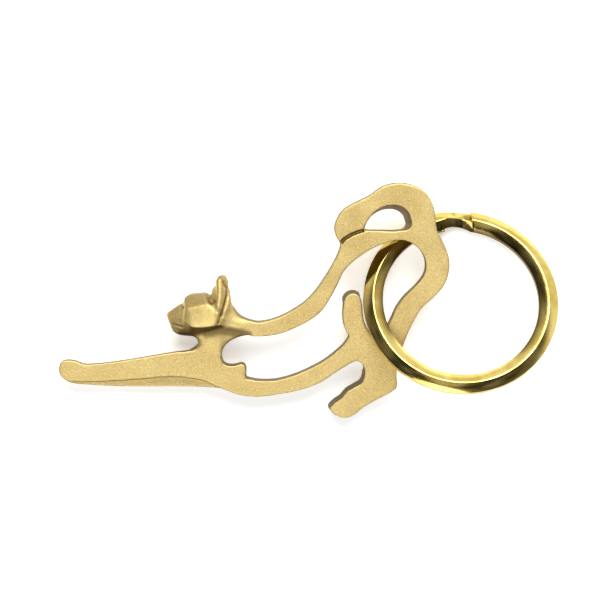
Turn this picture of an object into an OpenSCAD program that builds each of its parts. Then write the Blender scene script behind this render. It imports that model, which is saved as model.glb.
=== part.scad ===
// Cast cat bottle opener on a two-turn split key ring.
// The opener lies as it rests on a table: its hind foot and one cheek touch the table, and the
// ring passes under its back and over its hind leg, so the rump is lifted and the plate slopes.
// The origin is on the table, under the middle of the whole object. +X runs from paws to ring.

/* [Opener plate] */
// Thickness of the flat casting
plate_t = 5; // [4.6:0.1:5.2]
// Slope of the resting plate, rump side up, in degrees
plate_tilt = 8; // [7.5:0.25:9]
// Height of the plate's middle plane above the table, on the line v = 0
plate_z = 5.81; // [5.81:0.05:6.2]
// How much the tail hole narrows at its top side through the plate
tail_hole_taper = 1.2; // [0:0.1:1.5]
// Depth of the crease where the tail lies on the back
crease_depth = 0.7; // [0.3:0.1:1.2]

/* [Head] */
// Half thickness of the head across the cheeks
cheek_w = 5.2; // [4.8:0.1:5.5]
// Radius of the soft corners of the head
soft = 0.4; // [0.2:0.1:0.6]

/* [Split ring] */
// Outer radius of the ring
ring_r = 19.6; // [19:0.1:20]
// Radial width of the wire
wire_w = 3.9; // [3.4:0.1:4.2]
// Height of one turn of the wire
wire_h = 1.25; // [1:0.05:1.4]
// Height of the wire's upright edges, below the bevels
wire_edge = 0.5; // [0.3:0.05:0.7]
// Width of the narrow flat on top of the bevels
wire_flat = 0.4; // [0.2:0.1:0.8]
// Free gap between the two turns
turn_gap = 0.08; // [0.05:0.01:0.12]
// Where the upper turn ends, in degrees round the ring
upper_end = 89; // [75:1:95]
// Angle over which the wire steps down from the upper to the lower turn
step_angle = 22; // [20:1:30]
// Space left between the lower turn's end and the step, in degrees
lower_gap = 3; // [2:1:5]
// How much slimmer the wire is on the step, on each side
step_trim = 0.12; // [0.06:0.02:0.2]

/* [Ring at rest] */
// Slope of the resting ring, in degrees
ring_tilt = 18.5; // [17.5:0.25:19]
// Direction of the line about which the ring slopes, in degrees from +X
ring_turn = -8; // [-12:1:-4]
// Middle of the ring along the opener, from the frame of the outlines
ring_x = 32.25; // [32.1:0.05:33]
// Middle of the ring across the opener, from the frame of the outlines
ring_y = -0.4; // [-1:0.1:0]
// Height of the ring's middle above the table
ring_z = 6.89; // [6.89:0.01:7.05]

/* [Hidden] */
$fn = 96;
brass_matt = [0.83, 0.70, 0.42];
brass_bright = [0.80, 0.66, 0.25];
// The middle of the whole object, which the origin is put under
middle = [1.72, 0];
// Points that each stretch of an outline is divided into
steps = 5;

// Outline stretches of the plate, seen on its upper face. Corners are where two stretches meet.
// Upper front leg, from the paw to the throat
near_leg_top = [[-48.1, -15.4], [-48.4, -14.1], [-47.9, -12.6], [-46.7, -12.2], [-45, -12.4],
    [-43.6, -13.0], [-41, -13.0], [-36, -12.4], [-31, -11.6], [-25, -10.6], [-21.4, -10.1], [-20.3, -9.1]];
near_leg_bottom = [[-15, -18.3], [-17, -17.4], [-19.4, -16.3], [-22.4, -15.8], [-26, -15.5],
    [-32, -16.0], [-38, -16.4], [-44, -16.6], [-46.9, -16.3], [-48.1, -15.4]];
// Lower front leg, which stands out below the upper one
far_leg_top = [[-48.3, -15.4], [-48.1, -14.0], [-46.8, -13.4], [-44, -14.0], [-40, -14.0],
    [-34, -13.2], [-28, -12.0], [-23, -10.8], [-20.3, -9.1]];
far_leg_bottom = [[-15, -18.3], [-18, -18.0], [-24, -17.8], [-34, -17.8], [-42, -17.5],
    [-46.4, -17.0], [-48.3, -15.4]];
// Throat, and the core of the plate inside the head
throat = [[-20.3, -9.1], [-20.5, -8.3], [-22, -6.5]];
head_core = [[-22, -6.5], [-22.5, -3], [-16, -1]];
// Top of the back, from the nape to the tail
back_top = [[-16, -1], [-13.5, -1.5], [-12.2, -3.2], [-10, -4.3], [-8, -4.6], [-5, -3.9], [-2, -2.5],
    [1, -0.5], [3, 1.6], [5, 4.5], [7, 7.9], [7.9, 10], [8.1, 11.2]];
// Tail, rump, back of the thigh and heel, down to the tip of the hind foot
tail_and_rump = [[8.1, 11.2], [7.2, 12.6], [6.8, 14.2], [7.3, 16], [8.6, 17.9], [11, 19.3], [13.8, 20.7],
    [16.4, 22.5], [19.2, 23.2], [22.2, 22.9], [24.7, 21.7], [26.3, 19.5], [27, 17.2], [27.2, 15],
    [27.5, 13.5], [28.6, 11.5], [29.7, 8.8], [29.9, 6.2], [29, 3.1], [27, 0.6], [24.4, -1.8],
    [22.4, -5.2], [20.8, -9], [19.7, -12.5], [19.4, -15.2], [19.6, -17.2]];
sole = [[19.6, -17.2], [19.3, -18.0], [18, -18.9], [14.8, -20.6], [12.4, -22.0], [10.9, -23.3], [9.2, -23.9],
    [7.7, -23.6], [6.5, -22.8], [5.9, -21.8]];
// Claw gap between the hind foot and the belly, then the belly
claw_gap = [[5.9, -21.8], [7, -20.8], [8.3, -19.9], [9.4, -18.6], [10.9, -17.7], [12.3, -16.8], [12.9, -15.2],
    [12.8, -13.7], [12.1, -12.6], [11, -12.5], [9.4, -13.3], [7, -14.8], [4, -16.8], [0, -18.3],
    [-4, -19.1], [-8, -19.6], [-12, -19.3], [-15, -18.3]];

// Window of the body: under the back, round the thigh, and up to the hidden corner by the knee
window_back = [[-15.8, -11.5], [-15.4, -9.9], [-14.4, -8.7], [-12.6, -7.8], [-10, -7.5], [-7, -7.4],
    [-4, -6.9], [-1, -5.8], [2, -4.2], [4.2, -2.5], [6, 0.1], [7.4, 2.7], [8.7, 5.5], [10.2, 7.2],
    [12, 8.6], [14.4, 10.1], [17, 11.2], [19.2, 11.8], [21.2, 11.7], [23.2, 10.7], [24.6, 8.9],
    [25.1, 6.9], [24.7, 4.8], [23.1, 2.7], [20.8, 0.5], [19.3, -1.6], [18.2, -4], [17, -6.2], [15.2, -8]];
// Knee, which stands up into the window
window_knee = [[15.2, -8], [13.6, -6.2], [12.7, -3.8], [12.4, -0.8], [11.9, 0.6], [10.6, 1.2], [9.3, 0.7],
    [8.7, -0.6], [8.5, -3.4], [8.8, -5.4], [9.8, -7.4]];
window_belly = [[9.8, -7.4], [8.8, -9], [7, -10.7], [4.6, -12.5], [2, -13.9], [-1, -15.2], [-4.4, -16.2],
    [-8, -16.4], [-10.9, -15.9]];
// The tooth that bears on the top of a crown cap
window_tooth = [[-10.9, -15.9], [-10.8, -14.2], [-11, -13.4], [-11.8, -13], [-13, -13.3], [-14.5, -13.3],
    [-15.4, -12.8], [-15.8, -11.5]];

// Hole between the tail and the back
tail_hole_back = [[22.3, 15.2], [21.8, 14.2], [20.4, 13.8], [18, 13.7], [15.4, 13.8], [12.7, 13.8]];
tail_hole_tail = [[12.7, 13.8], [13.4, 15.5], [15, 17.5], [17.2, 18.7],
    [19.6, 18.8], [21.5, 17.6], [22.3, 15.2]];
// Crease that carries the hole's corner on to the notch
crease_line = [[8.1, 11.2], [8.9, 12.1], [10.2, 12.9], [11.6, 13.5], [12.9, 13.8]];
crease_half = 0.3;

function unit(v) = v / max(norm(v), 0.001);

// Direction of a smooth curve at one of its points
function heading(p, i) = unit(p[min(i + 1, len(p) - 1)] - p[max(i - 1, 0)]);

// Point at fraction t of the curved stretch from a to b, which leaves along da and arrives along db
function on_curve(a, da, b, db, t) =
    let (s = norm(b - a))
    (2 * t ^ 3 - 3 * t ^ 2 + 1) * a + (t ^ 3 - 2 * t ^ 2 + t) * s * da
    + (3 * t ^ 2 - 2 * t ^ 3) * b + (t ^ 3 - t ^ 2) * s * db;

// Smooth curve through the points p, without its last point
function smooth(p) = [for (i = [0 : len(p) - 2]) for (j = [0 : steps - 1])
    on_curve(p[i], heading(p, i), p[i + 1], heading(p, i + 1), j / steps)];

// The same points moved sideways by d, to the left of the way they run
function beside(p, d) = [for (i = [0 : len(p) - 1])
    let (h = heading(p, i)) p[i] + d * [-h[1], h[0]]];

function reversed(p) = [for (i = [len(p) - 1 : -1 : 0]) p[i]];

// Body, back and tail are the same in both layers of the plate
shared_outline = concat(smooth(throat), smooth(head_core), smooth(back_top), smooth(tail_and_rump),
    smooth(sole), smooth(claw_gap));

module body_window() {
    polygon(concat(smooth(window_back), smooth(window_knee), smooth(window_belly), smooth(window_tooth)));
}

// One layer of the plate, from its middle plane outwards, with its own front leg
module plate_layer(leg_top, leg_bottom) {
    linear_extrude(plate_t / 2) difference() {
        polygon(concat(smooth(leg_top), shared_outline, smooth(leg_bottom)));
        body_window();
    }
}

// The tail hole narrows downwards on its upper and right sides
module tail_hole() {
    upper = concat(smooth(tail_hole_back), smooth(tail_hole_tail));
    corner = tail_hole_tail[0];
    width = 9.6;
    height = 5.1;
    past = 0.5;
    shrink = [1 - tail_hole_taper / width, 1 - tail_hole_taper / height];
    hull() {
        translate([0, 0, plate_t / 2]) linear_extrude(past) polygon(upper);
        translate([0, 0, -plate_t / 2 - past]) linear_extrude(past)
            translate(corner) scale(shrink) translate(-corner) polygon(upper);
    }
}

// Narrow groove along the crease, cut into one face
module crease() {
    band = concat(beside(crease_line, crease_half), reversed(beside(crease_line, -crease_half)));
    translate([0, 0, plate_t / 2 - crease_depth]) linear_extrude(crease_depth + 1) polygon(band);
}

// Convex lump with soft corners at the given points and at their mirror images in the middle plane
module lump(points) {
    hull() for (p = points) for (side = [-1, 1])
        translate([p[0], p[1], side * p[2]]) sphere(r = soft, $fn = 16);
}

// Cat's head, facing -X: skull and cheeks, muzzle, neck and throat
module head() {
    cheek = cheek_w - soft;
    lump([[-22.9, 0.0, 1.6], [-21.8, 0.6, 1.6], [-18.8, 0.8, 2.4], [-22.7, -2.0, cheek - 1.1],
        [-23.1, -3.8, cheek - 1.2], [-21.4, -5.1, cheek - 0.5], [-17.2, -4.7, cheek], [-16.5, -2.6, cheek],
        [-18.4, -0.9, cheek - 0.4], [-15.2, -1.8, 2.8], [-15.2, -5, 2.8], [-22.4, -7, 1.4],
        [-19.5, -7.3, 2]]);
    lump([[-26.5, -3.2, 0.8], [-26, -4.6, 1.5], [-23.9, -1.4, 1.4], [-23, -2.6, 2.8], [-23.2, -4.6, 3.1],
        [-25.4, -6.2, 0.9], [-24.4, -7, 0.9], [-21.8, -7.2, 1.2]]);
    lump([[-15.8, -1.3, 2.2], [-15.4, -3.4, 3.2], [-15.6, -6.4, 2.6], [-10.4, -5.2, 2], [-10, -6.8, 2]]);
    lump([[-20, -6.4, 2.2], [-15.8, -6.4, 2.6], [-19.6, -9.6, 2.2], [-16.4, -9.6, 2.2]]);
}

// One ear: an upright wedge, blunt at its tip, whose ridge runs down to the back of the cheek
module ear() {
    tip = [[-16.4, 4.0, 3.3], [-15.1, 4.35, 2.8], [-14.5, 3.0, 2.4]];
    base = [[-17.6, 1.3, 1.9], [-16.4, -1.8, 4.8], [-14.3, 0.9, 2.4], [-14, -0.9, 2.2], [-14.7, -2.4, 3.2]];
    hull() for (p = concat(tip, base)) translate(p) sphere(r = soft, $fn = 16);
}

// Cast brass opener: two plate layers, tail hole, creases and head
module opener_body() {
    color(brass_matt)
    translate([-middle[0], -middle[1] + plate_t / 2 * sin(plate_tilt), plate_z]) rotate([plate_tilt, 0, 0]) {
        difference() {
            union() {
                plate_layer(near_leg_top, near_leg_bottom);
                mirror([0, 0, 1]) plate_layer(far_leg_top, far_leg_bottom);
            }
            tail_hole();
            for (face = [0, 1]) mirror([0, 0, face]) crease();
        }
        head();
        for (side = [0, 1]) mirror([0, 0, side]) ear();
    }
}

// Corners of the wire's cross-section, as [radius, height]: first its lower side, then its upper.
// The upper turn, level 0, is flat below and has its roof on top; the lower turn, level 1, is its
// mirror image. The section can be made slimmer all round by trim.
function wire_section(level, trim = 0) =
    let (inner = ring_r - wire_w + trim, outer = ring_r - trim,
        mid = ring_r - wire_w / 2, half = wire_flat / 2,
        radii = [inner, mid - half, mid + half, outer, outer, mid + half, mid - half, inner],
        flat = turn_gap / 2 + trim,
        edge = turn_gap / 2 + wire_edge - trim / 2,
        crest = turn_gap / 2 + wire_h - trim,
        upper = [flat, flat, flat, flat, edge, crest, crest, edge],
        lower = [-edge, -crest, -crest, -edge, -flat, -flat, -flat, -flat])
    [for (i = [0 : 7]) [radii[i], (1 - level) * upper[i] + level * lower[i]]];

// One turn: the section swept from angle a over the given span, level 0 above and 1 below
module turn(level, a, span) {
    rotate([0, 0, a]) rotate_extrude(angle = span) polygon(wire_section(level));
}

// The wire's step from the upper turn down to the lower one, slimmer than both and rooted in them
module turn_step() {
    rings = 12;
    root = 2;
    function level(t) = t * t * (3 - 2 * t);
    function along(t) = [for (c = wire_section(level(max(0, min(1, t))), step_trim))
        let (angle = upper_end + step_angle * (1 - t)) [c[0] * cos(angle), c[0] * sin(angle), c[1]]];
    stations = [-root / step_angle, each [for (k = [0 : rings]) k / rings], 1 + root / step_angle];
    last = len(stations) - 1;
    sides = [for (k = [0 : last - 1]) for (i = [0 : 7])
        let (a = 8 * k + i, b = 8 * k + (i + 1) % 8) each [[a, a + 8, b], [b, a + 8, b + 8]]];
    start = [for (i = [0 : 7]) i];
    end = [for (i = [7 : -1 : 0]) 8 * last + i];
    polyhedron([for (t = stations) each along(t)], [start, each sides, end]);
}

// Polished split ring: upper turn, lower turn, and the step that joins them
module split_ring() {
    color(brass_bright)
    translate([ring_x - middle[0], ring_y - middle[1], ring_z])
    rotate([0, 0, ring_turn]) rotate([-ring_tilt, 0, 0]) {
        turn(0, upper_end + step_angle, 360 - step_angle);
        turn(1, upper_end + step_angle - lower_gap, 360 - step_angle + lower_gap);
        turn_step();
    }
}

opener_body();
split_ring();
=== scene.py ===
"""Cat-shaped bottle opener of cast brass on a polished split ring, dressed around the CAD frame.

The opener is cast in one piece and blasted matt, so its mesh is one closed skin that is taken from
the CAD solid, rounded at every edge and carved at the head. The ring is one bright wire of two
turns. All sizes in the classes are in millimetres, and the finished meshes are in metres.
"""

import logging
import math
from collections.abc import Callable, Sequence
from dataclasses import dataclass
from enum import Enum

import bmesh
import bpy
import numpy as np
from mathutils import Matrix, Vector, noise


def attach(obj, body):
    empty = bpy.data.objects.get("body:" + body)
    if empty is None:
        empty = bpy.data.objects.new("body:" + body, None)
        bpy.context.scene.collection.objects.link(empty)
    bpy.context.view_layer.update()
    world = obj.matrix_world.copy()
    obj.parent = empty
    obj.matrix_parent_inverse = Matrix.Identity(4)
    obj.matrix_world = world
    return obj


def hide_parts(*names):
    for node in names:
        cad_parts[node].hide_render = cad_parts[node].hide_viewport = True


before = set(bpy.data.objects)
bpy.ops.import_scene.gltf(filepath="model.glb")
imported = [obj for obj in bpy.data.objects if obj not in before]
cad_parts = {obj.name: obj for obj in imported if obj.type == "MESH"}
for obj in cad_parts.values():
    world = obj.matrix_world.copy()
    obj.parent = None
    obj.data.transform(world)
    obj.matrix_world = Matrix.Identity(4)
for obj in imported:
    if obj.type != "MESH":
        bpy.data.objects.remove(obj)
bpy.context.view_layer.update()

MM = 0.001
NO_ZERO = 1e-9
X_AXIS = 0
Y_AXIS = 1
log = logging.getLogger("opener")

Point = tuple[float, float, float]
Pair = tuple[float, float]
Colour = tuple[float, float, float]
Socket = bpy.types.NodeSocket


class Side(Enum):
    """The two mirror-image sides of the head, as the sign of their height in the plate."""

    NEAR = 1.0
    FAR = -1.0


# ---------------------------------------------------------------- shader nodes


class NodeTray:
    """Adds and joins the nodes of one shader tree."""

    NOISE_ROUGHNESS = 0.55

    def __init__(self, tree: bpy.types.NodeTree) -> None:
        """Clears the tree.

        Args:
            tree: The node tree of a material or a world.
        """
        self.tree = tree
        tree.nodes.clear()

    def add(self, kind: str, inputs: dict | None = None, **settings: object) -> bpy.types.Node:
        """Adds one node.

        Args:
            kind: Blender's identifier of the node.
            inputs: Value or source socket of each input, by the input's name or number.
            settings: Properties of the node itself.

        Returns:
            The new node.
        """
        node = self.tree.nodes.new(kind)
        for key, value in settings.items():
            setattr(node, key, value)
        for key, value in (inputs or {}).items():
            if isinstance(value, Socket):
                self.tree.links.new(value, node.inputs[key])
            else:
                node.inputs[key].default_value = value
        return node

    def place(self) -> Socket:
        """Gives the object's own coordinates, in metres."""
        return self.add("ShaderNodeTexCoord").outputs["Object"]

    def attribute(self, name: str, output: str = "Fac") -> Socket:
        """Reads what a piece's dress method stored under a name."""
        return self.add("ShaderNodeAttribute", attribute_name=name).outputs[output]

    def math(self, operation: str, a: object, b: object) -> Socket:
        """Joins two values by one operation.

        Args:
            operation: Name of the Math node's operation.
            a: First value or socket.
            b: Second value or socket.

        Returns:
            The result's socket.
        """
        return self.add("ShaderNodeMath", {0: a, 1: b}, operation=operation).outputs[0]

    def span(self, value: Socket, low: float, high: float, to_low: float = 0.0,
             to_high: float = 1.0) -> Socket:
        """Maps a stretch of values smoothly onto another.

        Args:
            value: The value's socket.
            low: Value that gives to_low.
            high: Value that gives to_high.
            to_low: Result at low.
            to_high: Result at high.

        Returns:
            The result's socket.
        """
        limits = {"Value": value, "From Min": low, "From Max": high, "To Min": to_low, "To Max": to_high}
        return self.add("ShaderNodeMapRange", limits, interpolation_type="SMOOTHSTEP").outputs["Result"]

    def noise(self, where: Socket, size: float, detail: float) -> Socket:
        """Adds cloud noise.

        Args:
            where: Socket of the coordinates, in metres.
            size: Size of the noise's largest lumps, in millimetres.
            detail: Octaves of finer noise.

        Returns:
            The noise's value, about 0.5 on average.
        """
        inputs = {"Vector": where, "Scale": 1 / (size * MM), "Detail": detail,
                  "Roughness": self.NOISE_ROUGHNESS}
        return self.add("ShaderNodeTexNoise", inputs).outputs["Fac"]

    def mix(self, share: Socket, a: object, b: object) -> Socket:
        """Mixes two colours.

        Args:
            share: How much of b there is, from 0 to 1.
            a: Colour or socket at share 0.
            b: Colour or socket at share 1.

        Returns:
            The mixed colour's socket.
        """
        made = self.add("ShaderNodeMix", {"Factor": share}, data_type="RGBA")
        for socket, value in ((made.inputs[6], a), (made.inputs[7], b)):
            if isinstance(value, Socket):
                self.tree.links.new(value, socket)
            else:
                socket.default_value = (*value, 1.0)
        return made.outputs[2]

    def bare_metal(self, colour: Socket, rough: Socket, height: Socket) -> None:
        """Ends the tree in a metal surface.

        Args:
            colour: The metal's colour.
            rough: Its roughness.
            height: Height of its fine relief, in metres.
        """
        bump = self.add("ShaderNodeBump", {"Height": height, "Strength": 1.0, "Distance": 1.0})
        shader = self.add("ShaderNodeBsdfPrincipled", {
            "Base Color": colour, "Metallic": 1.0, "Roughness": rough, "Normal": bump.outputs[0]})
        self.add("ShaderNodeOutputMaterial", {"Surface": shader.outputs[0]})


def new_material(name: str) -> tuple[bpy.types.Material, NodeTray]:
    """Makes a material without nodes.

    Args:
        name: The material's name.

    Returns:
        The material, and the tray for its nodes.
    """
    material = bpy.data.materials.new(name)
    material.use_nodes = True
    return material, NodeTray(material.node_tree)


@dataclass(frozen=True)
class CastBrass:
    """Bead-blasted brass: fine grain, soft sheen, worn edges, painted highlights and painted shade.

    The casting stores where: its edges are worn bright, where highlights are painted, and where
    shade is painted in corners, on the walls, under the jaw, on the crown and along the neck's band.
    """

    name: str = "cast_brass_blasted"
    light: Colour = (0.64, 0.50, 0.215)
    deep: Colour = (0.555, 0.415, 0.165)
    # pale brass for the specks, the worn edges and the painted highlights
    pale_brass: Colour = (0.90, 0.70, 0.27)
    # colour of the painted shade in corners and grooves
    dark_tone: Colour = (0.20, 0.13, 0.045)
    # colour of the painted shade on the walls, under the jaw, on the crown and along the neck's band
    painted_shade: Colour = (0.14, 0.092, 0.030)
    pit: Colour = (0.36, 0.25, 0.09)
    roughness: Pair = (0.48, 0.58)
    roughness_cloud: Pair = (0.3, 0.7)
    wear_polish: float = 0.10
    grain_size: float = 0.21
    grain_height: float = 0.034
    dimple_size: float = 0.7
    dimple_height: float = 0.030
    cloud_size: float = 7.0
    colour_cloud: Pair = (0.35, 0.65)
    speck_grain: Pair = (0.54, 0.66)
    speck_share: float = 0.65
    pit_grain: Pair = (0.46, 0.34)
    pit_share: float = 0.60
    mottle_size: float = 1.6
    mottle_range: Pair = (0.30, 0.60)
    mottle_least: float = 0.35

    def build(self) -> bpy.types.Material:
        """Makes the material.

        Returns:
            The material.
        """
        material, tray = new_material(self.name)
        place = tray.place()
        wear_and_highlights = tray.attribute("wear_and_highlight")
        grain = tray.noise(place, self.grain_size, detail=3.0)
        dimple = tray.noise(place, self.dimple_size, detail=1.0)
        cloud = tray.noise(place, self.cloud_size, detail=3.0)
        speck = tray.math("MULTIPLY", tray.span(grain, *self.speck_grain), self.speck_share)
        pits = tray.math("MULTIPLY", tray.span(grain, *self.pit_grain), self.pit_share)
        patches = tray.noise(place, self.mottle_size, detail=3.0)
        wear_and_highlight_mix = tray.math("MULTIPLY", wear_and_highlights, tray.span(patches, *self.mottle_range, self.mottle_least, 1.0))
        colour = tray.mix(tray.span(cloud, *self.colour_cloud), self.deep, self.light)
        colour = tray.mix(speck, colour, self.pale_brass)
        colour = tray.mix(pits, colour, self.pit)
        # edge wear, together with the painted highlights on the cheek and the neck
        colour = tray.mix(wear_and_highlight_mix, colour, self.pale_brass)
        # painted shade on the walls, under the jaw, on the crown and along the neck's band
        colour = tray.mix(tray.attribute("painted_shade"), colour, self.painted_shade)
        # painted shade in corners and grooves
        colour = tray.mix(tray.attribute("painted_darkening"), colour, self.dark_tone)
        rough = tray.math("SUBTRACT", tray.span(cloud, *self.roughness_cloud, *self.roughness),
                          tray.math("MULTIPLY", wear_and_highlights, self.wear_polish))
        height = tray.math("ADD", tray.math("MULTIPLY", grain, self.grain_height * MM),
                           tray.math("MULTIPLY", dimple, self.dimple_height * MM))
        tray.bare_metal(colour, rough, height)
        return material


@dataclass(frozen=True)
class PolishedBrass:
    """Bright brass wire with fine polishing lines that run round the ring, and painted shade.

    The ring stores each point's place in the wire's section, and where shade is painted.
    """

    name: str = "polished_brass_wire"
    light: Colour = (0.80, 0.63, 0.21)
    deep: Colour = (0.63, 0.45, 0.11)
    # darker tone for the polishing lines, the painted shade and the painted dark reflection
    dark_tone: Colour = (0.09, 0.052, 0.010)
    roughness: Pair = (0.08, 0.16)
    roughness_lines: Pair = (0.55, 0.95)
    line_width: float = 0.05
    line_height: float = 0.0025
    line_colour: Pair = (0.5, 0.75)
    line_share: float = 0.2
    broad_width: float = 0.5
    broad_share: float = 0.5
    wander: float = 0.6
    wander_size: float = 2.5
    cloud_size: float = 5.0
    colour_cloud: Pair = (0.35, 0.65)

    def build(self) -> bpy.types.Material:
        """Makes the material.

        Returns:
            The material.
        """
        material, tray = new_material(self.name)
        place = tray.place()
        drift = tray.noise(place, self.wander_size, detail=2.0)
        shift = tray.math("MULTIPLY", drift, self.wander * MM)
        aside = tray.add("ShaderNodeCombineXYZ", {"Z": shift}).outputs[0]
        section = tray.attribute("wire_section", "Vector")
        along = tray.add("ShaderNodeVectorMath", {0: section, 1: aside}, operation="ADD").outputs[0]
        line = tray.noise(along, self.line_width, detail=2.0)
        broad = tray.noise(along, self.broad_width, detail=1.0)
        cloud = tray.noise(place, self.cloud_size, detail=2.0)
        lines = tray.math("MULTIPLY", tray.span(line, *self.line_colour), self.line_share)
        colour = tray.mix(tray.span(cloud, *self.colour_cloud), self.deep, self.light)
        colour = tray.mix(lines, colour, self.dark_tone)
        # painted shade between the turns, and a painted dark reflection on the inner bevel
        colour = tray.mix(tray.attribute("painted_darkening"), colour, self.dark_tone)
        scratches = tray.math("ADD", line, tray.math("MULTIPLY", broad, self.broad_share))
        rough = tray.span(scratches, *self.roughness_lines, *self.roughness)
        tray.bare_metal(colour, rough, tray.math("MULTIPLY", line, self.line_height * MM))
        return material


# ---------------------------------------------------------------- mesh helpers


def points_of(mesh: bpy.types.Mesh) -> np.ndarray:
    """Reads a mesh's vertices.

    Args:
        mesh: The mesh.

    Returns:
        One row of three coordinates for each vertex.
    """
    flat = np.zeros(len(mesh.vertices) * 3, np.float32)
    mesh.vertices.foreach_get("co", flat)
    return flat.reshape(-1, 3).astype(float)


def normals_of(mesh: bpy.types.Mesh) -> np.ndarray:
    """Reads a mesh's vertex normals.

    Args:
        mesh: The mesh.

    Returns:
        One unit row for each vertex.
    """
    flat = np.zeros(len(mesh.vertices) * 3, np.float32)
    mesh.vertex_normals.foreach_get("vector", flat)
    return flat.reshape(-1, 3).astype(float)


def put_points(mesh: bpy.types.Mesh, points: np.ndarray) -> None:
    """Writes a mesh's vertices.

    Args:
        mesh: The mesh.
        points: One row of three coordinates for each vertex.
    """
    mesh.vertices.foreach_set("co", points.astype(np.float32).ravel())
    mesh.update()


def put_attribute(mesh: bpy.types.Mesh, name: str, values: np.ndarray) -> None:
    """Stores one number for each vertex.

    Args:
        mesh: The mesh.
        name: The attribute's name, as the materials read it.
        values: One value for each vertex.
    """
    attribute = mesh.attributes.new(name, "FLOAT", "POINT")
    attribute.data.foreach_set("value", values.astype(np.float32))


class EdgeWeb:
    """The edges of a mesh, for averages over the edges that meet at each vertex."""

    def __init__(self, mesh: bpy.types.Mesh) -> None:
        """Reads the edges.

        Args:
            mesh: The mesh.
        """
        self.count = len(mesh.vertices)
        pairs = np.zeros(len(mesh.edges) * 2, np.int32)
        mesh.edges.foreach_get("vertices", pairs)
        self.first, self.second = pairs.reshape(-1, 2).T
        meeting = np.bincount(self.first, minlength=self.count)
        meeting = meeting + np.bincount(self.second, minlength=self.count)
        self.degree = np.maximum(meeting, 1)

    def mean(self, to_first: np.ndarray, to_second: np.ndarray) -> np.ndarray:
        """Averages what the edges give to each vertex.

        Args:
            to_first: What each edge gives to its first vertex.
            to_second: What each edge gives to its second vertex.

        Returns:
            One average for each vertex.
        """
        given = np.bincount(self.first, to_first, self.count)
        given = given + np.bincount(self.second, to_second, self.count)
        return given / self.degree

    def beside(self, values: np.ndarray) -> np.ndarray:
        """Averages one value over each vertex's neighbours."""
        return self.mean(values[self.second], values[self.first])


def hollowness(mesh: bpy.types.Mesh, rounds: int, own_share: float = 0.4) -> np.ndarray:
    """Measures how a surface curves: above 0 in corners and grooves, below 0 on edges.

    Args:
        mesh: The mesh.
        rounds: How often the measure is averaged with its neighbours.
        own_share: What a vertex keeps of its own measure in each round.

    Returns:
        One slope for each vertex, about 0 where the surface is flat.
    """
    web, points, normals = EdgeWeb(mesh), points_of(mesh), normals_of(mesh)
    reach = points[web.second] - points[web.first]
    length = np.maximum(np.linalg.norm(reach, axis=1), NO_ZERO)
    rise_at_first = (reach * normals[web.first]).sum(1) / length
    rise_at_second = -(reach * normals[web.second]).sum(1) / length
    value = web.mean(rise_at_first, rise_at_second)
    for _ in range(rounds):
        value = own_share * value + (1 - own_share) * web.beside(value)
    return value


def relax(mesh: bpy.types.Mesh, weight: np.ndarray | float, rounds: int) -> None:
    """Smooths a surface by drawing its vertices towards their neighbours.

    Args:
        mesh: The mesh.
        weight: How far each vertex moves in one round, from 0 to 1, or one number for all.
        rounds: How many times it is done.
    """
    web, points = EdgeWeb(mesh), points_of(mesh)
    weights = np.broadcast_to(weight, len(points))[:, None]
    for _ in range(rounds):
        middle = np.column_stack([web.beside(column) for column in points.T])
        points += weights * (middle - points)
    put_points(mesh, points)


def eased(share: np.ndarray | float) -> np.ndarray | float:
    """Turns a steady rise from 0 to 1 into one that starts and ends gently."""
    return share * share * (3 - 2 * share)


def ramp(value: np.ndarray | float, low: float, high: float) -> np.ndarray | float:
    """Rises smoothly from 0 at low to 1 at high.

    Args:
        value: The numbers.
        low: Where the rise starts.
        high: Where it ends, above or below low.

    Returns:
        One share for each number.
    """
    return eased(np.clip((value - low) / (high - low), 0, 1))


def distance_to_path(points: np.ndarray, path: Sequence[Point]) -> np.ndarray:
    """Measures how far points are from a bent line.

    Args:
        points: One row for each point.
        path: The line's corners, two or more.

    Returns:
        One distance for each point.
    """
    nearest = np.full(len(points), np.inf)
    for start, end in zip(path, path[1:]):
        a, along = np.array(start), np.subtract(end, start)
        share = np.clip(((points - a) @ along) / max(along @ along, NO_ZERO), 0, 1)
        nearest = np.minimum(nearest, np.linalg.norm(points - a - share[:, None] * along, axis=1))
    return nearest


def added(name: str, data: bpy.types.ID) -> bpy.types.Object:
    """Puts an object with a mesh, a camera or a light in the scene."""
    thing = bpy.data.objects.new(name, data)
    bpy.context.scene.collection.objects.link(thing)
    return thing


def finished(name: str, mesh: bpy.types.Mesh, material: bpy.types.Material, body: str, node: str) -> bpy.types.Object:
    """Puts a piece in the scene and ties it to the frame.

    Args:
        name: The piece's name.
        mesh: Its mesh, in metres and in place.
        material: Its finish.
        body: CAD body that it rides on.
        node: CAD node that it stands for.

    Returns:
        The piece.
    """
    mesh.name = name
    mesh.materials.clear()
    mesh.materials.append(material)
    mesh.polygons.foreach_set("use_smooth", [True] * len(mesh.polygons))
    mesh.update()
    piece = added(name, mesh)
    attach(piece, body)
    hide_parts(node)
    log.info("%s: %d faces on body %s", name, len(mesh.polygons), body)
    return piece


# ---------------------------------------------------------------- the opener


@dataclass(frozen=True)
class Zone:
    """A soft-edged region of the plate, as fades along its axes that are multiplied.

    Each fade is an axis, where the region is out, and where it is fully in.
    """

    fades: Sequence[tuple[int, float, float]]

    def share(self, points: np.ndarray) -> np.ndarray:
        """Gives how far each point is inside, from 0 to 1."""
        share = np.ones(len(points))
        for axis, out, fully_in in self.fades:
            share = share * ramp(points[:, axis], out, fully_in)
        return share


@dataclass(frozen=True)
class HighlightPatch:
    """An oval patch of the plate, where a highlight is painted, that fades from its core to its rim."""

    centre: Pair
    squash: float
    rim: float
    core: float

    def share(self, points: np.ndarray) -> np.ndarray:
        """Gives how far each point is inside, from 0 to 1."""
        reach = np.hypot((points[:, 0] - self.centre[0]) * self.squash, points[:, 1] - self.centre[1])
        return ramp(reach, self.rim, self.core)


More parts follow.
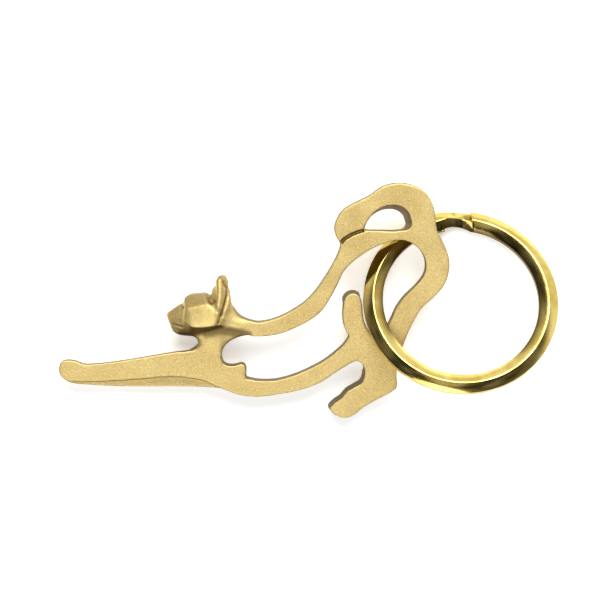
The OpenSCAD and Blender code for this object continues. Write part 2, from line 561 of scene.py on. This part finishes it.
@dataclass(frozen=True)
class Stroke:
    """One pull of a carving tool: the surface near a path is moved along its own normal.

    A lift below 0 is a groove. Heights count by depth_share in the distance from the path.
    """

    path: Sequence[Point]
    radius: float
    lift: float
    depth_share: float = 0.4

    def cut(self, points: np.ndarray, normals: np.ndarray, side: Side) -> np.ndarray:
        """Carves one side of the head.

        Args:
            points: The surface's points, in the plate's frame.
            normals: Their normals.
            side: The side that the path is on.

        Returns:
            The moved points.
        """
        flat = np.array([1, 1, self.depth_share])
        path = [tuple(np.multiply((x, y, z * side.value), flat)) for x, y, z in self.path]
        near = np.clip(1 - (distance_to_path(points * flat, path) / self.radius) ** 2, 0, None) ** 2
        near *= points[:, 2] * side.value > 0
        return points + normals * (near * self.lift)[:, None]


# Regions of the head, in the plate's frame
SMOOTH_HEAD = Zone(((X_AXIS, -9.5, -12.5), (Y_AXIS, -10.0, -8.6)))
THROAT = Zone(((X_AXIS, -9.5, -12.5), (Y_AXIS, -5.2, -6.2), (Y_AXIS, -11.0, -9.4)))
EAR_BACK = Zone(((X_AXIS, -15.4, -14.6), (X_AXIS, -9.5, -12.5), (Y_AXIS, -5.5, -4.5)))
CARVED_HEAD = Zone(((X_AXIS, -11.0, -14.0), (Y_AXIS, -9.0, -7.6)))
# painted highlights on the cheek facet and on the neck
CHEEK_HIGHLIGHT = HighlightPatch((-20.0, -3.4), squash=0.8, rim=2.9, core=2.2)
NECK_HIGHLIGHT = HighlightPatch((-12.4, -4.9), squash=0.7, rim=1.6, core=0.2)
# the neck band is carved, and shade is also painted along it
NECK_BAND = ((-18.8, -6.7, 3.2), (-16.4, -6.3, 3.2), (-13.6, -6.6, 2.4), (-10.6, -7.2, 2.2))

HEAD_STROKES = (
    # crease behind the ear's inner ridge, down to the back of the cheek
    Stroke(((-15.4, 3.7, 3.4), (-14.6, 2.3, 3.1), (-14.5, 0.8, 3.2), (-14.9, -0.9, 3.8), (-15.5, -2.8, 4.3),
            (-16.1, -4.5, 4.5)), 0.50, -0.38),
    # back of the ear, level with the neck
    Stroke(((-14.4, 2.6, 3.0), (-14.5, 0.9, 3.2), (-15.0, -1.2, 3.8), (-15.6, -3.2, 4.2)), 0.60, -0.25),
    # hollow in front of the ridge, between ear and crown
    Stroke(((-17.1, 2.9, 2.6), (-17.0, 1.4, 3.0), (-17.0, -0.2, 3.8)), 0.75, -0.45),
    Stroke(((-18.3, 1.1, 2.2), (-17.6, -0.3, 3.4)), 0.9, -0.40),
    # the ridge itself
    Stroke(((-16.0, 3.8, 3.6), (-15.8, 1.0, 4.3), (-16.1, -1.4, 4.9)), 0.85, 0.25),
    # valley between muzzle and cheek, and the eye's corner
    Stroke(((-23.5, -1.3, 1.9), (-23.6, -2.6, 2.7), (-23.8, -4.6, 2.9)), 0.9, -0.15),
    Stroke(((-23.9, -1.2, 1.6), (-23.5, -1.6, 2.2)), 0.5, -0.25),
    # mouth line and chin
    Stroke(((-26.5, -5.0, 0.9), (-25.0, -5.1, 1.7), (-23.7, -5.5, 2.4)), 0.45, -0.22),
    Stroke(((-25.4, -6.2, 0.9), (-24.6, -6.7, 1.0)), 0.5, 0.15),
    # crisp lower and rear edge of the cheek
    Stroke(((-23.1, -4.0, 4.3), (-21.4, -5.3, 4.8), (-19.4, -5.5, 5.0), (-17.0, -5.0, 5.2)), 0.55, 0.16),
    Stroke(((-17.0, -5.0, 5.2), (-16.4, -2.7, 5.2)), 0.45, 0.16),
    # undercut from the cheek to the neck, and the throat
    Stroke(NECK_BAND, 1.3, -0.32),
)

# Walls that lean out towards the table: the knee, and the foot side of the claw
LEANING_WALLS = (
    ((9.2, 0.2, 0.0), (9.7, 1.2, 0.0), (10.6, 1.5, 0.0), (11.2, 1.4, 0.0)),
    ((5.9, -21.8, 0.0), (8.3, -19.9, 0.0), (9.4, -18.6, 0.0), (12.3, -16.8, 0.0), (12.9, -15.2, 0.0)),
)


@dataclass(frozen=True)
class CastShades:
    """How far the casting's brass is rubbed bright on edges, and where highlights and shade are painted.

    Bends are as hollowness measures them. A pair is where a shade starts and where it is full: a
    distance for the band, and otherwise a share of the surface's normal.
    """

    bend_rounds: int = 2
    edge_bend: float = 0.08
    edge_range: float = 0.25
    edge_most: float = 0.35
    edge_loss_on_head: float = 0.5
    # painted highlights on the cheek and neck patches
    highlight_level: Pair = (0.76, 0.90)
    highlight_share: float = 0.65
    neck_highlight_boost: float = 1.3
    # painted shade in corners and grooves
    corner_bend: float = 0.025
    corner_range: float = 0.11
    corner_most: float = 0.9
    # painted shade on the side walls, under the jaw, on the crown and along the neck's band
    wall_shade_level: Pair = (0.85, 0.40)
    wall_shade_share: float = 0.92
    jaw_slope: Pair = (0.34, 0.75)
    crown_slope: Pair = (0.18, 0.65)
    crown_shade_share: float = 0.62
    band_reach: Pair = (1.5, 0.3)
    band_shade_share: float = 0.8


@dataclass
class OpenerCasting:
    """The opener: one casting with rounded edges, a carved head and a slightly uneven skin.

    The plate's frame has its x and y in the plate, and z out of its upper face, from the middle.
    """

    thickness: float = 5.0
    slope_deg: float = 8.0
    middle_height: float = 5.81
    shift_x: float = -1.72
    grid: float = 0.225
    edge_rounds: int = 3
    head_rounds: int = 9
    throat_rounds: int = 24
    rounding: float = 0.5
    carved_softness: float = 0.4
    lean: float = 0.42
    lean_reach: Pair = (1.6, 0.4)
    lean_top: float = 0.3
    uneven: float = 0.035
    uneven_size: float = 5.0
    strokes: Sequence[Stroke] = HEAD_STROKES
    shades: CastShades = CastShades()

    def plate_to_row(self) -> Matrix:
        """Gives the plate's place, from its own millimetres to the row frame's metres."""
        slope = math.radians(self.slope_deg)
        place = Vector((self.shift_x, self.thickness / 2 * math.sin(slope), self.middle_height))
        return Matrix.Scale(MM, 4) @ Matrix.Translation(place) @ Matrix.Rotation(slope, 4, "X")

    def merged_copy(self) -> bpy.types.Mesh:
        """Copies the CAD solid into the plate's frame, with its loose triangles merged.

        Returns:
            The closed mesh, in millimetres.
        """
        shape = bmesh.new()
        shape.from_mesh(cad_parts["opener_body"].data)
        bmesh.ops.remove_doubles(shape, verts=shape.verts, dist=1e-7)
        bmesh.ops.transform(shape, matrix=self.plate_to_row().inverted(), verts=shape.verts)
        bmesh.ops.recalc_face_normals(shape, faces=shape.faces)
        mesh = bpy.data.meshes.new("opener_solid")
        shape.to_mesh(mesh)
        shape.free()
        return mesh

    def fine_skin(self, mesh: bpy.types.Mesh) -> bpy.types.Mesh:
        """Rebuilds the solid as one fine, closed skin.

        Args:
            mesh: The closed solid.

        Returns:
            The skin.
        """
        holder = added("opener_skin", mesh)
        remesh = holder.modifiers.new("skin", "REMESH")
        remesh.mode = "VOXEL"
        remesh.voxel_size = self.grid
        bpy.context.view_layer.update()
        depsgraph = bpy.context.evaluated_depsgraph_get()
        skin = bpy.data.meshes.new_from_object(holder.evaluated_get(depsgraph))
        bpy.data.objects.remove(holder)
        return skin

    def round_off(self, mesh: bpy.types.Mesh) -> None:
        """Rounds every edge a little, and the head and neck more, as casting and blasting do.

        Args:
            mesh: The fine skin.
        """
        points = points_of(mesh)
        relax(mesh, self.rounding, self.edge_rounds)
        relax(mesh, self.rounding * SMOOTH_HEAD.share(points), self.head_rounds)
        creased = np.maximum(THROAT.share(points), EAR_BACK.share(points))
        relax(mesh, self.rounding * creased, self.throat_rounds)

    def carve(self, mesh: bpy.types.Mesh) -> None:
        """Carves both sides of the head, stroke by stroke.

        Args:
            mesh: The rounded skin.
        """
        for stroke in self.strokes:
            for side in Side:
                put_points(mesh, stroke.cut(points_of(mesh), normals_of(mesh), side))
        relax(mesh, self.carved_softness, 1)

    def lean_walls(self, mesh: bpy.types.Mesh) -> None:
        """Moves the lower edge of some walls outwards, so that they show from above.

        Args:
            mesh: The rounded skin.
        """
        points, normals = points_of(mesh), normals_of(mesh)
        level = points * (1, 1, 0)
        sideways = normals * (1, 1, 0)
        depth = ramp(points[:, 2], self.thickness / 2 - self.lean_top, -self.thickness / 2)
        for path in LEANING_WALLS:
            near = ramp(distance_to_path(level, path), *self.lean_reach)
            points += sideways * (self.lean * near * depth)[:, None]
        put_points(mesh, points)

    def unsettle(self, mesh: bpy.types.Mesh) -> None:
        """Makes the flat faces slightly uneven, as sand leaves them.

        Args:
            mesh: The carved skin.
        """
        points, normals = points_of(mesh), normals_of(mesh)
        wave = np.array([noise.noise(Vector(p) / self.uneven_size) for p in points])
        put_points(mesh, points + normals * (wave * self.uneven)[:, None])

    def dress(self, mesh: bpy.types.Mesh) -> None:
        """Stores where the brass is rubbed bright, and where highlights and shade are painted.

        The edges are rubbed bright. Highlights are painted on a patch on the cheek and one on the
        neck. Shade is painted in corners and grooves, on the side walls, the head's crown, the
        underside of the jaw and the neck's band.

        Args:
            mesh: The final skin, in the plate's frame.
        """
        shades = self.shades
        bend, points, normals = hollowness(mesh, shades.bend_rounds), points_of(mesh), normals_of(mesh)
        upright = np.abs(normals[:, 2])
        head = CARVED_HEAD.share(points)
        # painted highlights on the cheek and the neck
        patches = np.maximum(CHEEK_HIGHLIGHT.share(points), shades.neck_highlight_boost * NECK_HIGHLIGHT.share(points))
        pale_brass = shades.highlight_share * patches * ramp(upright, *shades.highlight_level)
        edges = np.clip((-bend - shades.edge_bend) / shades.edge_range, 0, shades.edge_most)
        edges = edges * (1 - shades.edge_loss_on_head * head)
        # painted shade in corners and grooves
        corners = np.clip((bend - shades.corner_bend) / shades.corner_range, 0, shades.corner_most)
        # painted shade on the side walls, under the jaw, on the crown and along the neck's band
        wall_shade = (1 - head) * shades.wall_shade_share * ramp(upright, *shades.wall_shade_level)
        jaw_shade = ramp(-normals[:, 1], *shades.jaw_slope)
        crown_shade = shades.crown_shade_share * ramp(normals[:, 1], *shades.crown_slope)
        level = np.array([1, 1, 0])
        from_band = distance_to_path(points * level, np.array(NECK_BAND) * level)
        band_shade = shades.band_shade_share * ramp(from_band, *shades.band_reach)
        # worn edges together with the painted highlights
        put_attribute(mesh, "wear_and_highlight", np.maximum(edges, pale_brass))
        put_attribute(mesh, "painted_darkening", corners)
        put_attribute(mesh, "painted_shade", np.maximum(wall_shade + head * np.maximum(jaw_shade, crown_shade), band_shade))

    def build(self, material: bpy.types.Material) -> bpy.types.Object:
        """Builds the casting.

        Args:
            material: The cast finish.

        Returns:
            The piece, on the opener's body.
        """
        skin = self.fine_skin(self.merged_copy())
        self.round_off(skin)
        self.lean_walls(skin)
        self.carve(skin)
        self.unsettle(skin)
        self.dress(skin)
        skin.transform(self.plate_to_row())
        return finished("opener_casting", skin, material, "opener", "opener_body")


# ---------------------------------------------------------------- the ring


@dataclass
class SplitRing:
    """Two-turn ring of bevelled wire: the upper turn, a step down, and the lower turn.

    Angles are in degrees. The upper cut end is at cut_angle, measured round the ring, and the
    spans follow each other back along the wire from there. The wire's ridge is on top of the
    upper turn. It passes to the lower side on the step and just after it.
    """

    radius: float = 19.6
    width: float = 3.9
    height: float = 1.25
    edge: float = 0.5
    flat: float = 0.18
    gap: float = 0.08
    cut_angle: float = 89.0
    upper_span: float = 338.0
    step_span: float = 22.0
    lower_span: float = 341.0
    slope_deg: float = 18.5
    turn_deg: float = -8.0
    centre: Point = (30.53, -0.4, 6.89)
    pitch: float = 2.0
    flip_on_step: Pair = (0.30, 0.95)
    flip_span: float = 12.0
    early_flip: float = 0.45
    sharp_deg: float = 14.0
    softness: float = 0.045
    pinch: float = 0.8
    cut_slant: float = 0.30
    slant_span: float = 9.0
    touching: float = 0.001
    # painted shade between the turns, and a painted dark reflection on the inner bevel
    shade_between_turns: float = 0.7
    inner_bevel_darkening: float = 0.95
    inner_darkening_fade: Pair = (-0.58, -0.40)

    def ring_to_row(self) -> Matrix:
        """Gives the ring's place, from its own millimetres to the row frame's metres."""
        turn = Matrix.Rotation(math.radians(self.turn_deg), 4, "Z")
        slope = Matrix.Rotation(math.radians(-self.slope_deg), 4, "X")
        return Matrix.Scale(MM, 4) @ Matrix.Translation(Vector(self.centre)) @ turn @ slope

    def section(self, level: float, pinch: float = 0.0, flip: Pair = (0, 0)) -> list[Pair]:
        """Gives the wire's corners.

        Args:
            level: 0 for the upper turn, 1 for the lower one.
            pinch: How much the inner side is drawn in.
            flip: For the lower and the upper four corners, 0 where the ridge is on top and 1
                where it is below.

        Returns:
            Eight corners as (radius, height), in millimetres.
        """
        inner = self.radius - self.width + pinch
        middle = self.radius - self.width / 2 + pinch / 2
        half, outer, low = self.flat / 2, self.radius, self.gap / 2
        edge, crest = low + self.edge, low + self.height
        radii = [inner, middle - half, middle + half, outer, outer, middle + half, middle - half, inner]
        drop = level * (self.height + self.gap)
        ridge_up = [h - drop for h in [low] * 4 + [edge, crest, crest, edge]]
        ridge_down = [-edge, -crest, -crest, -edge] + [-low] * 4
        share = [flip[0]] * 4 + [flip[1]] * 4
        return [(r, (1 - f) * a + f * b) for r, a, b, f in zip(radii, ridge_up, ridge_down, share)]

    def sweep(self, shape: bmesh.types.BMesh, loop: list, span: float) -> list:
        """Turns the wire's section on round the ring.

        Args:
            shape: The ring's mesh.
            loop: The section's vertices and edges at the start.
            span: How far it turns, in degrees.

        Returns:
            The section's vertices and edges at the end.
        """
        turned = bmesh.ops.spin(shape, geom=loop, cent=(0, 0, 0), axis=(0, 0, 1), dvec=(0, 0, 0),
                                angle=-math.radians(span), space=Matrix.Identity(4),
                                steps=max(1, round(span / self.pitch)), use_merge=False,
                                use_normal_flip=False, use_duplicate=False)
        return turned["geom_last"]

    def shaped(self, shape: bmesh.types.BMesh, loop: list, span: float,
               form: Callable[[float], list[Pair]]) -> list:
        """Turns the section on while it changes its form, one short stretch at a time.

        Args:
            shape: The ring's mesh.
            loop: The section's vertices and edges at the start.
            span: How far it turns, in degrees.
            form: Gives the section's corners at each share of the way.

        Returns:
            The section's vertices and edges at the end.
        """
        count = round(span / self.pitch)
        turn = Matrix.Rotation(-math.radians(span / count), 3, "Z")
        places = {v: v.co.copy() for v in loop if isinstance(v, bmesh.types.BMVert)}
        ranks = self.ranks(places, form(0.0))
        for k in range(1, count + 1):
            loop = self.sweep(shape, loop, span / count)
            corners = form(k / count)
            next_places, next_ranks = {}, {}
            for v in (v for v in loop if isinstance(v, bmesh.types.BMVert)):
                source = min(places, key=lambda u: (turn @ places[u] - v.co).length)
                radius, height = corners[ranks[source]]
                out = Vector((v.co.x, v.co.y, 0)).normalized()
                v.co = out * radius + Vector((0, 0, height))
                next_places[v] = v.co.copy()
                next_ranks[v] = ranks[source]
            places, ranks = next_places, next_ranks
        return loop

    def ranks(self, places: dict, corners: list[Pair]) -> dict:
        """Finds which corner of the section each vertex is.

        Args:
            places: Place of each vertex.
            corners: The section's corners as (radius, height).

        Returns:
            The corner's number for each vertex.
        """
        def gap(co: Vector, corner: Pair) -> float:
            """Measures a vertex's distance from a corner."""
            return math.hypot(math.hypot(co.x, co.y) - corner[0], co.z - corner[1])
        return {v: min(range(len(corners)), key=lambda i: gap(co, corners[i])) for v, co in places.items()}

    def stepping(self, share: float) -> list[Pair]:
        """Gives the corners on the step to the lower turn, where the ridge goes to the lower side."""
        flip = float(ramp(np.float64(share), *self.flip_on_step))
        pinch = self.pinch * math.sin(math.pi * share)
        return self.section(eased(share), pinch, (flip, self.early_flip * flip))

    def flipping(self, share: float) -> list[Pair]:
        """Gives the corners just after the step, where the last of the upper ridge goes."""
        return self.section(1.0, 0.0, (1.0, self.early_flip + (1 - self.early_flip) * share))

    def slant_cut(self, verts: Sequence[bmesh.types.BMVert]) -> None:
        """Leans the last millimetres at the upper cut end, as side cutters leave them.

        Args:
            verts: The vertices of the upper turn.
        """
        middle = self.radius - self.width / 2
        for v in verts:
            reach = math.hypot(v.co.x, v.co.y)
            back = (self.cut_angle - math.degrees(math.atan2(v.co.y, v.co.x))) % 360
            share = max(0.0, 1 - min(back, 360 - back) / self.slant_span)
            lean = self.cut_slant * (reach - middle) / reach * eased(share)
            v.co = Matrix.Rotation(lean, 3, "Z") @ v.co

    def build(self, material: bpy.types.Material) -> bpy.types.Object:
        """Builds the wire.

        Args:
            material: The polished finish.

        Returns:
            The piece, on the ring's body.
        """
        shape = bmesh.new()
        start = math.radians(self.cut_angle)
        corners = [shape.verts.new((r * math.cos(start), r * math.sin(start), h))
                   for r, h in self.section(0.0)]
        sides = [shape.edges.new((a, b)) for a, b in zip(corners, corners[1:] + corners[:1])]
        loop = self.sweep(shape, corners + sides, self.upper_span)
        upper = list(shape.verts)
        loop = self.shaped(shape, loop, self.step_span, self.stepping)
        loop = self.shaped(shape, loop, self.flip_span, self.flipping)
        last = self.sweep(shape, loop, self.lower_span - self.flip_span)
        ends = [sides, [e for e in last if isinstance(e, bmesh.types.BMEdge)]]
        self.slant_cut(upper)
        bmesh.ops.remove_doubles(shape, verts=shape.verts, dist=1e-5)
        for end in ends:
            bmesh.ops.contextual_create(shape, geom=[e for e in end if e.is_valid])
        bmesh.ops.recalc_face_normals(shape, faces=shape.faces)
        limit = math.radians(self.sharp_deg)
        sharp = [e for e in shape.edges if len(e.link_faces) == 2 and e.calc_face_angle() > limit]
        bmesh.ops.bevel(shape, geom=sharp, offset=self.softness, offset_type="OFFSET", segments=2,
                        profile=0.5, affect="EDGES", material=-1, clamp_overlap=True)
        bmesh.ops.recalc_face_normals(shape, faces=shape.faces)
        mesh = bpy.data.meshes.new("ring_wire")
        shape.to_mesh(mesh)
        shape.free()
        self.dress(mesh)
        mesh.transform(self.ring_to_row())
        return finished("ring_wire", mesh, material, "ring", "split_ring")

    def dress(self, mesh: bpy.types.Mesh) -> None:
        """Stores each point's place in the wire's section, and where shade is painted on the wire.

        The polishing lines follow the section. Shade is painted between the turns, and a dark
        reflection is painted on the inner bevel, where it fades out towards the ring's near side.

        Args:
            mesh: The wire, in the ring's frame.
        """
        points = points_of(mesh)
        reach = np.hypot(points[:, 0], points[:, 1])
        section = np.column_stack([reach, points[:, 2], np.zeros(len(points))])
        attribute = mesh.attributes.new("wire_section", "FLOAT_VECTOR", "POINT")
        attribute.data.foreach_set("vector", (section * MM).astype(np.float32).ravel())
        # shade is painted between the turns, and a dark reflection on the inner bevel that fades to the near side
        between = np.abs(points[:, 2]) < self.gap / 2 + self.touching
        inward = reach < self.radius - self.width / 2 - self.flat
        inside = self.inner_bevel_darkening * ramp(points[:, 1] / self.radius, *self.inner_darkening_fade)
        painted_darkness = np.where(between, self.shade_between_turns, np.where(inward, inside, 0.0))
        put_attribute(mesh, "painted_darkening", painted_darkness)


# ---------------------------------------------------------------- the studio


@dataclass(frozen=True)
class Softbox:
    """A round softbox that hangs over the table and faces the object.

    The power is in watts, and the azimuth goes round the table from +X.
    """

    name: str
    power: float
    size: float
    elevation_deg: float
    azimuth_deg: float
    distance: float = 900.0

    def hang(self) -> None:
        """Makes the light and turns it to the object."""
        data = bpy.data.lights.new(self.name, "AREA")
        data.shape = "DISK"
        data.size = self.size * MM
        data.energy = self.power
        rise, around = math.radians(self.elevation_deg), math.radians(self.azimuth_deg)
        level = math.cos(rise)
        away = Vector((level * math.cos(around), level * math.sin(around), math.sin(rise)))
        softbox = added(self.name, data)
        softbox.location = away * self.distance * MM
        softbox.rotation_mode = "QUATERNION"
        softbox.rotation_quaternion = (-away).to_track_quat("-Z", "Y")


@dataclass(frozen=True)
class Studio:
    """White table, a large softbox on the far side, a weaker one on the near side, and a room."""

    target: Point = (-1.72, -0.12, 8.3)
    distance: float = 500.0
    elevation_deg: float = 86.5
    field: float = 120.0
    sensor: float = 36.0
    clip: Pair = (0.01, 10.0)
    floor_size: float = 12000.0
    floor_white: float = 0.93
    floor_roughness: float = 0.8
    floor_glow: float = 0.42
    key: Softbox = Softbox("key_softbox", power=11.0, size=880.0, elevation_deg=50.0, azimuth_deg=84.0)
    fill: Softbox = Softbox("fill_softbox", power=3.9, size=700.0, elevation_deg=55.0, azimuth_deg=-104.0)
    bright_side: Pair = (0.5, 0.85)
    rim_spread: Pair = (-0.3, 0.6)
    rim_near: float = 0.36
    rim_far: float = 1.1
    rim_top: Pair = (0.40, 0.66)
    patch_scale: float = 5.0
    patch_spread: Pair = (0.42, 0.60)
    ceiling: float = 0.03
    ceiling_patches: float = 0.15
    spot: float = 0.46
    spot_deg: Pair = (8.0, 11.0)

    def build_camera(self) -> None:
        """Makes the camera, almost straight above and a little towards the near side."""
        data = bpy.data.cameras.new("camera")
        data.sensor_width = self.sensor
        data.lens = data.sensor_width * self.distance / self.field
        data.clip_start, data.clip_end = self.clip
        camera = added("camera", data)
        rise = math.radians(self.elevation_deg)
        back = Vector((0.0, -math.cos(rise), math.sin(rise)))
        camera.location = (Vector(self.target) + back * self.distance) * MM
        camera.rotation_mode = "QUATERNION"
        camera.rotation_quaternion = (-back).to_track_quat("-Z", "Y")
        bpy.context.scene.camera = camera

    def build_floor(self) -> None:
        """Makes the table top, which isn't part of the object."""
        shape = bmesh.new()
        bmesh.ops.create_grid(shape, x_segments=2, y_segments=2, size=self.floor_size / 2 * MM)
        mesh = bpy.data.meshes.new("table_top")
        shape.to_mesh(mesh)
        shape.free()
        floor = added("table_top", mesh)
        material, tray = new_material("table_white")
        white = (self.floor_white,) * 3 + (1.0,)
        shader = tray.add("ShaderNodeBsdfPrincipled", {
            "Base Color": white, "Roughness": self.floor_roughness,
            "Emission Color": white, "Emission Strength": self.floor_glow})
        tray.add("ShaderNodeOutputMaterial", {"Surface": shader.outputs[0]})
        mesh.materials.append(material)

    def build_surroundings(self) -> None:
        """Makes the room: a pale rim that is brighter on the far side, under a dim ceiling.

        The ceiling has soft patches, and a brighter spot straight above the table.
        """
        world = bpy.data.worlds.new("room")
        bpy.context.scene.world = world
        world.use_nodes = True
        tray = NodeTray(world.node_tree)
        direction = tray.add("ShaderNodeTexCoord").outputs["Generated"]
        x, y, z = tray.add("ShaderNodeSeparateXYZ", {0: direction}).outputs
        to_x, to_y = self.bright_side
        far = tray.math("ADD", tray.math("MULTIPLY", y, to_y), tray.math("MULTIPLY", x, to_x))
        rim = tray.span(far, *self.rim_spread, self.rim_near, self.rim_far)
        up = tray.span(z, *self.rim_top)
        noise_inputs = {"Vector": direction, "Scale": self.patch_scale, "Detail": 1.0}
        patches = tray.add("ShaderNodeTexNoise", noise_inputs).outputs["Fac"]
        above = tray.span(patches, *self.patch_spread, self.ceiling, self.ceiling + self.ceiling_patches)
        level = tray.math("ADD", tray.math("MULTIPLY", rim, tray.math("SUBTRACT", 1.0, up)),
                          tray.math("MULTIPLY", up, above))
        inner, outer = (math.cos(math.radians(a)) for a in self.spot_deg)
        strength = tray.math("ADD", level, tray.span(z, outer, inner, 0.0, self.spot))
        light = tray.add("ShaderNodeBackground", {"Color": (1, 1, 1, 1), "Strength": strength})
        tray.add("ShaderNodeOutputWorld", {"Surface": light.outputs[0]})

    def build(self) -> None:
        """Makes the whole studio and fixes how its light is shown."""
        self.build_floor()
        self.build_surroundings()
        for softbox in (self.key, self.fill):
            softbox.hang()
        self.build_camera()
        bpy.context.scene.view_settings.view_transform = "Standard"


def main() -> None:
    """Builds the opener, the ring and the studio."""
    logging.basicConfig(level=logging.INFO, format="%(name)s %(message)s")
    OpenerCasting().build(CastBrass().build())
    SplitRing().build(PolishedBrass().build())
    Studio().build()


if __name__ == "__main__":
    main()
